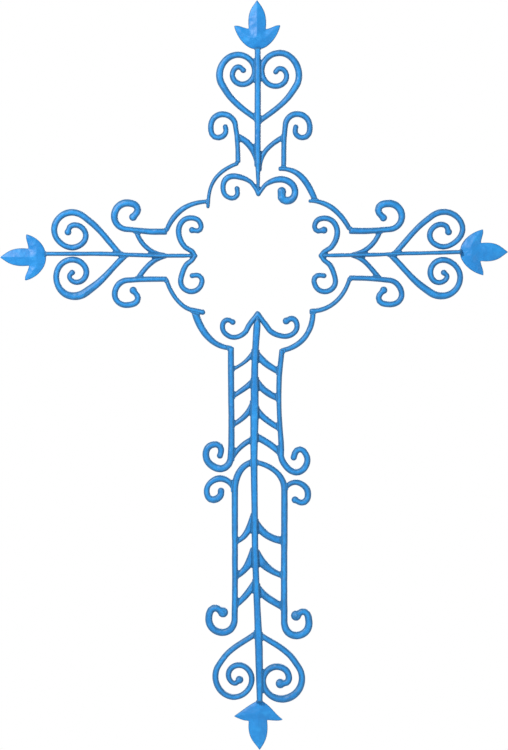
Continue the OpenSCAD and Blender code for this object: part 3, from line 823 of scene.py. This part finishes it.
# ---- operators ----


class IronworkOperator(Operator):
    """Forges every frame node whose name holds one of the group's words"""

    bl_options = {"REGISTER", "UNDO"}
    words = ()

    def execute(self, context):
        for node in sorted(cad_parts):
            if any(word in node for word in self.words):
                forge_bar(node)
        return {"FINISHED"}


class IRONWORK_OT_stems(IronworkOperator):
    """Forges the four straight bars of the arms, the long upright among them"""

    bl_idname = "ironwork.stems"
    bl_label = "Stems"
    words = ("_stem", "upright")


class IRONWORK_OT_inner_curls(IronworkOperator):
    """Forges the pairs of curls that point into the open centre"""

    bl_idname = "ironwork.inner_curls"
    bl_label = "Inner curls"
    words = ("_inner_curls",)


class IRONWORK_OT_hearts(IronworkOperator):
    """Forges the scrolls that make the four hearts"""

    bl_idname = "ironwork.hearts"
    bl_label = "Hearts"
    words = ("_heart_",)


class IRONWORK_OT_rails(IronworkOperator):
    """Forges the rails that end in curls, the lower shaft's side bars and its crooks"""

    bl_idname = "ironwork.rails"
    bl_label = "Rails"
    words = ("_rail_", "side_bar_", "crook_")


class IRONWORK_OT_ring(IronworkOperator):
    """Forges the eight arcs round the open centre"""

    bl_idname = "ironwork.ring"
    bl_label = "Ring"
    words = ("ring_",)


class IRONWORK_OT_rungs(IronworkOperator):
    """Forges the short curved bars between the stems and the rails"""

    bl_idname = "ironwork.rungs"
    bl_label = "Rungs and brackets"
    words = ("rung_", "_bracket_")


class IRONWORK_OT_leaves(Operator):
    """Forges the leaves on the four tips"""

    bl_idname = "ironwork.leaves"
    bl_label = "Leaves"
    bl_options = {"REGISTER", "UNDO"}

    def execute(self, context):
        for node in sorted(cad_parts):
            if node.endswith("_leaf"):
                forge_leaf(node)
        return {"FINISHED"}


class IRONWORK_OT_welds(Operator):
    """Lays the weld beads where the bars meet"""

    bl_idname = "ironwork.welds"
    bl_label = "Welds"
    bl_options = {"REGISTER", "UNDO"}

    def execute(self, context):
        weld_joints()
        return {"FINISHED"}


def lamp(name, place, aim, size, power):
    bpy.ops.object.light_add(type="AREA", location=place)
    made = bpy.context.object
    made.name = name
    made.data.shape = "DISK"
    made.data.size = size
    made.data.energy = power
    made.rotation_mode = "QUATERNION"
    made.rotation_quaternion = (Vector(aim) - Vector(place)).to_track_quat("-Z", "Y")


def white_sky(strength):
    """An even sky that shows pure white to the camera and in reflections"""
    world = bpy.data.worlds.new("studio")
    bpy.context.scene.world = world
    world.use_nodes = True
    tree = world.node_tree
    tree.nodes.clear()
    path = tree.nodes.new("ShaderNodeLightPath")
    seen = tree.nodes.new("ShaderNodeMath")
    seen.operation = "MAXIMUM"
    tree.links.new(path.outputs["Is Camera Ray"], seen.inputs[0])
    tree.links.new(path.outputs["Is Transmission Ray"], seen.inputs[1])
    level = tree.nodes.new("ShaderNodeMapRange")
    level.inputs["To Min"].default_value = strength
    level.inputs["To Max"].default_value = 1.0
    either = tree.nodes.new("ShaderNodeMath")
    either.operation = "MAXIMUM"
    tree.links.new(seen.outputs[0], either.inputs[0])
    tree.links.new(path.outputs["Is Glossy Ray"], either.inputs[1])
    tree.links.new(either.outputs[0], level.inputs["Value"])
    sky = tree.nodes.new("ShaderNodeBackground")
    sky.inputs["Color"].default_value = (1, 1, 1, 1)
    tree.links.new(level.outputs[0], sky.inputs["Strength"])
    out = tree.nodes.new("ShaderNodeOutputWorld")
    tree.links.new(sky.outputs[0], out.inputs["Surface"])


class IRONWORK_OT_stage(Operator):
    """Sets up the camera straight in front, the lamps, the white sky and the pale floor"""

    bl_idname = "ironwork.stage"
    bl_label = "Stage"
    bl_options = {"REGISTER", "UNDO"}

    def execute(self, context):
        stage = context.scene.ironwork_stage
        low, high = CAD_BOX
        centre = (low + high) / 2
        away = (high.z - low.z) * stage.lens / SENSOR
        bpy.ops.object.camera_add(
            location=(centre.x, low.y + FRAMED - away, centre.z), rotation=(math.pi / 2, 0, 0))
        camera = context.object
        camera.name = "camera"
        camera.data.lens = stage.lens
        camera.data.sensor_width = SENSOR
        context.scene.camera = camera
        for name, (x, y, up), size in LAMPS:
            lamp(name + "_lamp", (x, y, centre.z + up), centre, size, getattr(stage, name))
        white_sky(stage.sky)
        bpy.ops.mesh.primitive_circle_add(
            vertices=96, radius=FLOOR_RADIUS, fill_type="NGON",
            location=(centre.x, 0, low.z - FLOOR_DROP))
        floor = context.object
        floor.name = "floor"
        pale = Finish("pale_floor")
        cloth = pale.node(
            "ShaderNodeBsdfPrincipled", {}, {"Base Color": (0.9, 0.9, 0.9, 1), "Roughness": 0.9})
        glow = pale.node("ShaderNodeEmission", {}, {"Color": (1, 1, 1, 1), "Strength": 1.0})
        seen = pale.node("ShaderNodeLightPath", output="Is Camera Ray") * FLOOR_GLOW
        floor.data.materials.append(pale.surface(
            pale.node("ShaderNodeMixShader", {}, {0: seen, 1: cloth, 2: glow})))
        context.scene.view_settings.view_transform = "Standard"
        return {"FINISHED"}


class IRONWORK_PT_panel(Panel):
    """Lists the steps in the order in which the cross is made"""

    bl_label = "Ironwork"
    bl_idname = "IRONWORK_PT_panel"
    bl_space_type = "VIEW_3D"
    bl_region_type = "UI"
    bl_category = "Ironwork"

    def draw(self, context):
        for settings in ("ironwork_forge", "ironwork_weld", "ironwork_paint", "ironwork_stage"):
            group = getattr(context.scene, settings)
            box = self.layout.box()
            for name in group.__annotations__:
                box.prop(group, name)
        for step in STEPS:
            self.layout.operator(step.bl_idname)


STEPS = (
    IRONWORK_OT_stage,
    IRONWORK_OT_stems,
    IRONWORK_OT_leaves,
    IRONWORK_OT_inner_curls,
    IRONWORK_OT_hearts,
    IRONWORK_OT_rails,
    IRONWORK_OT_ring,
    IRONWORK_OT_rungs,
    IRONWORK_OT_welds,
)
SETTINGS = {
    "ironwork_forge": ForgeSettings,
    "ironwork_weld": WeldSettings,
    "ironwork_paint": PaintSettings,
    "ironwork_stage": StageSettings,
}
CLASSES = (*SETTINGS.values(), *STEPS, IRONWORK_PT_panel)


def register():
    for each in CLASSES:
        bpy.utils.register_class(each)
    for name, group in SETTINGS.items():
        setattr(bpy.types.Scene, name, PointerProperty(type=group))


def unregister():
    for name in SETTINGS:
        delattr(bpy.types.Scene, name)
    for each in reversed(CLASSES):
        bpy.utils.unregister_class(each)


def main():
    register()
    for step in STEPS:
        family, name = step.bl_idname.split(".")
        getattr(getattr(bpy.ops, family), name)()


if __name__ == "__main__":
    main()
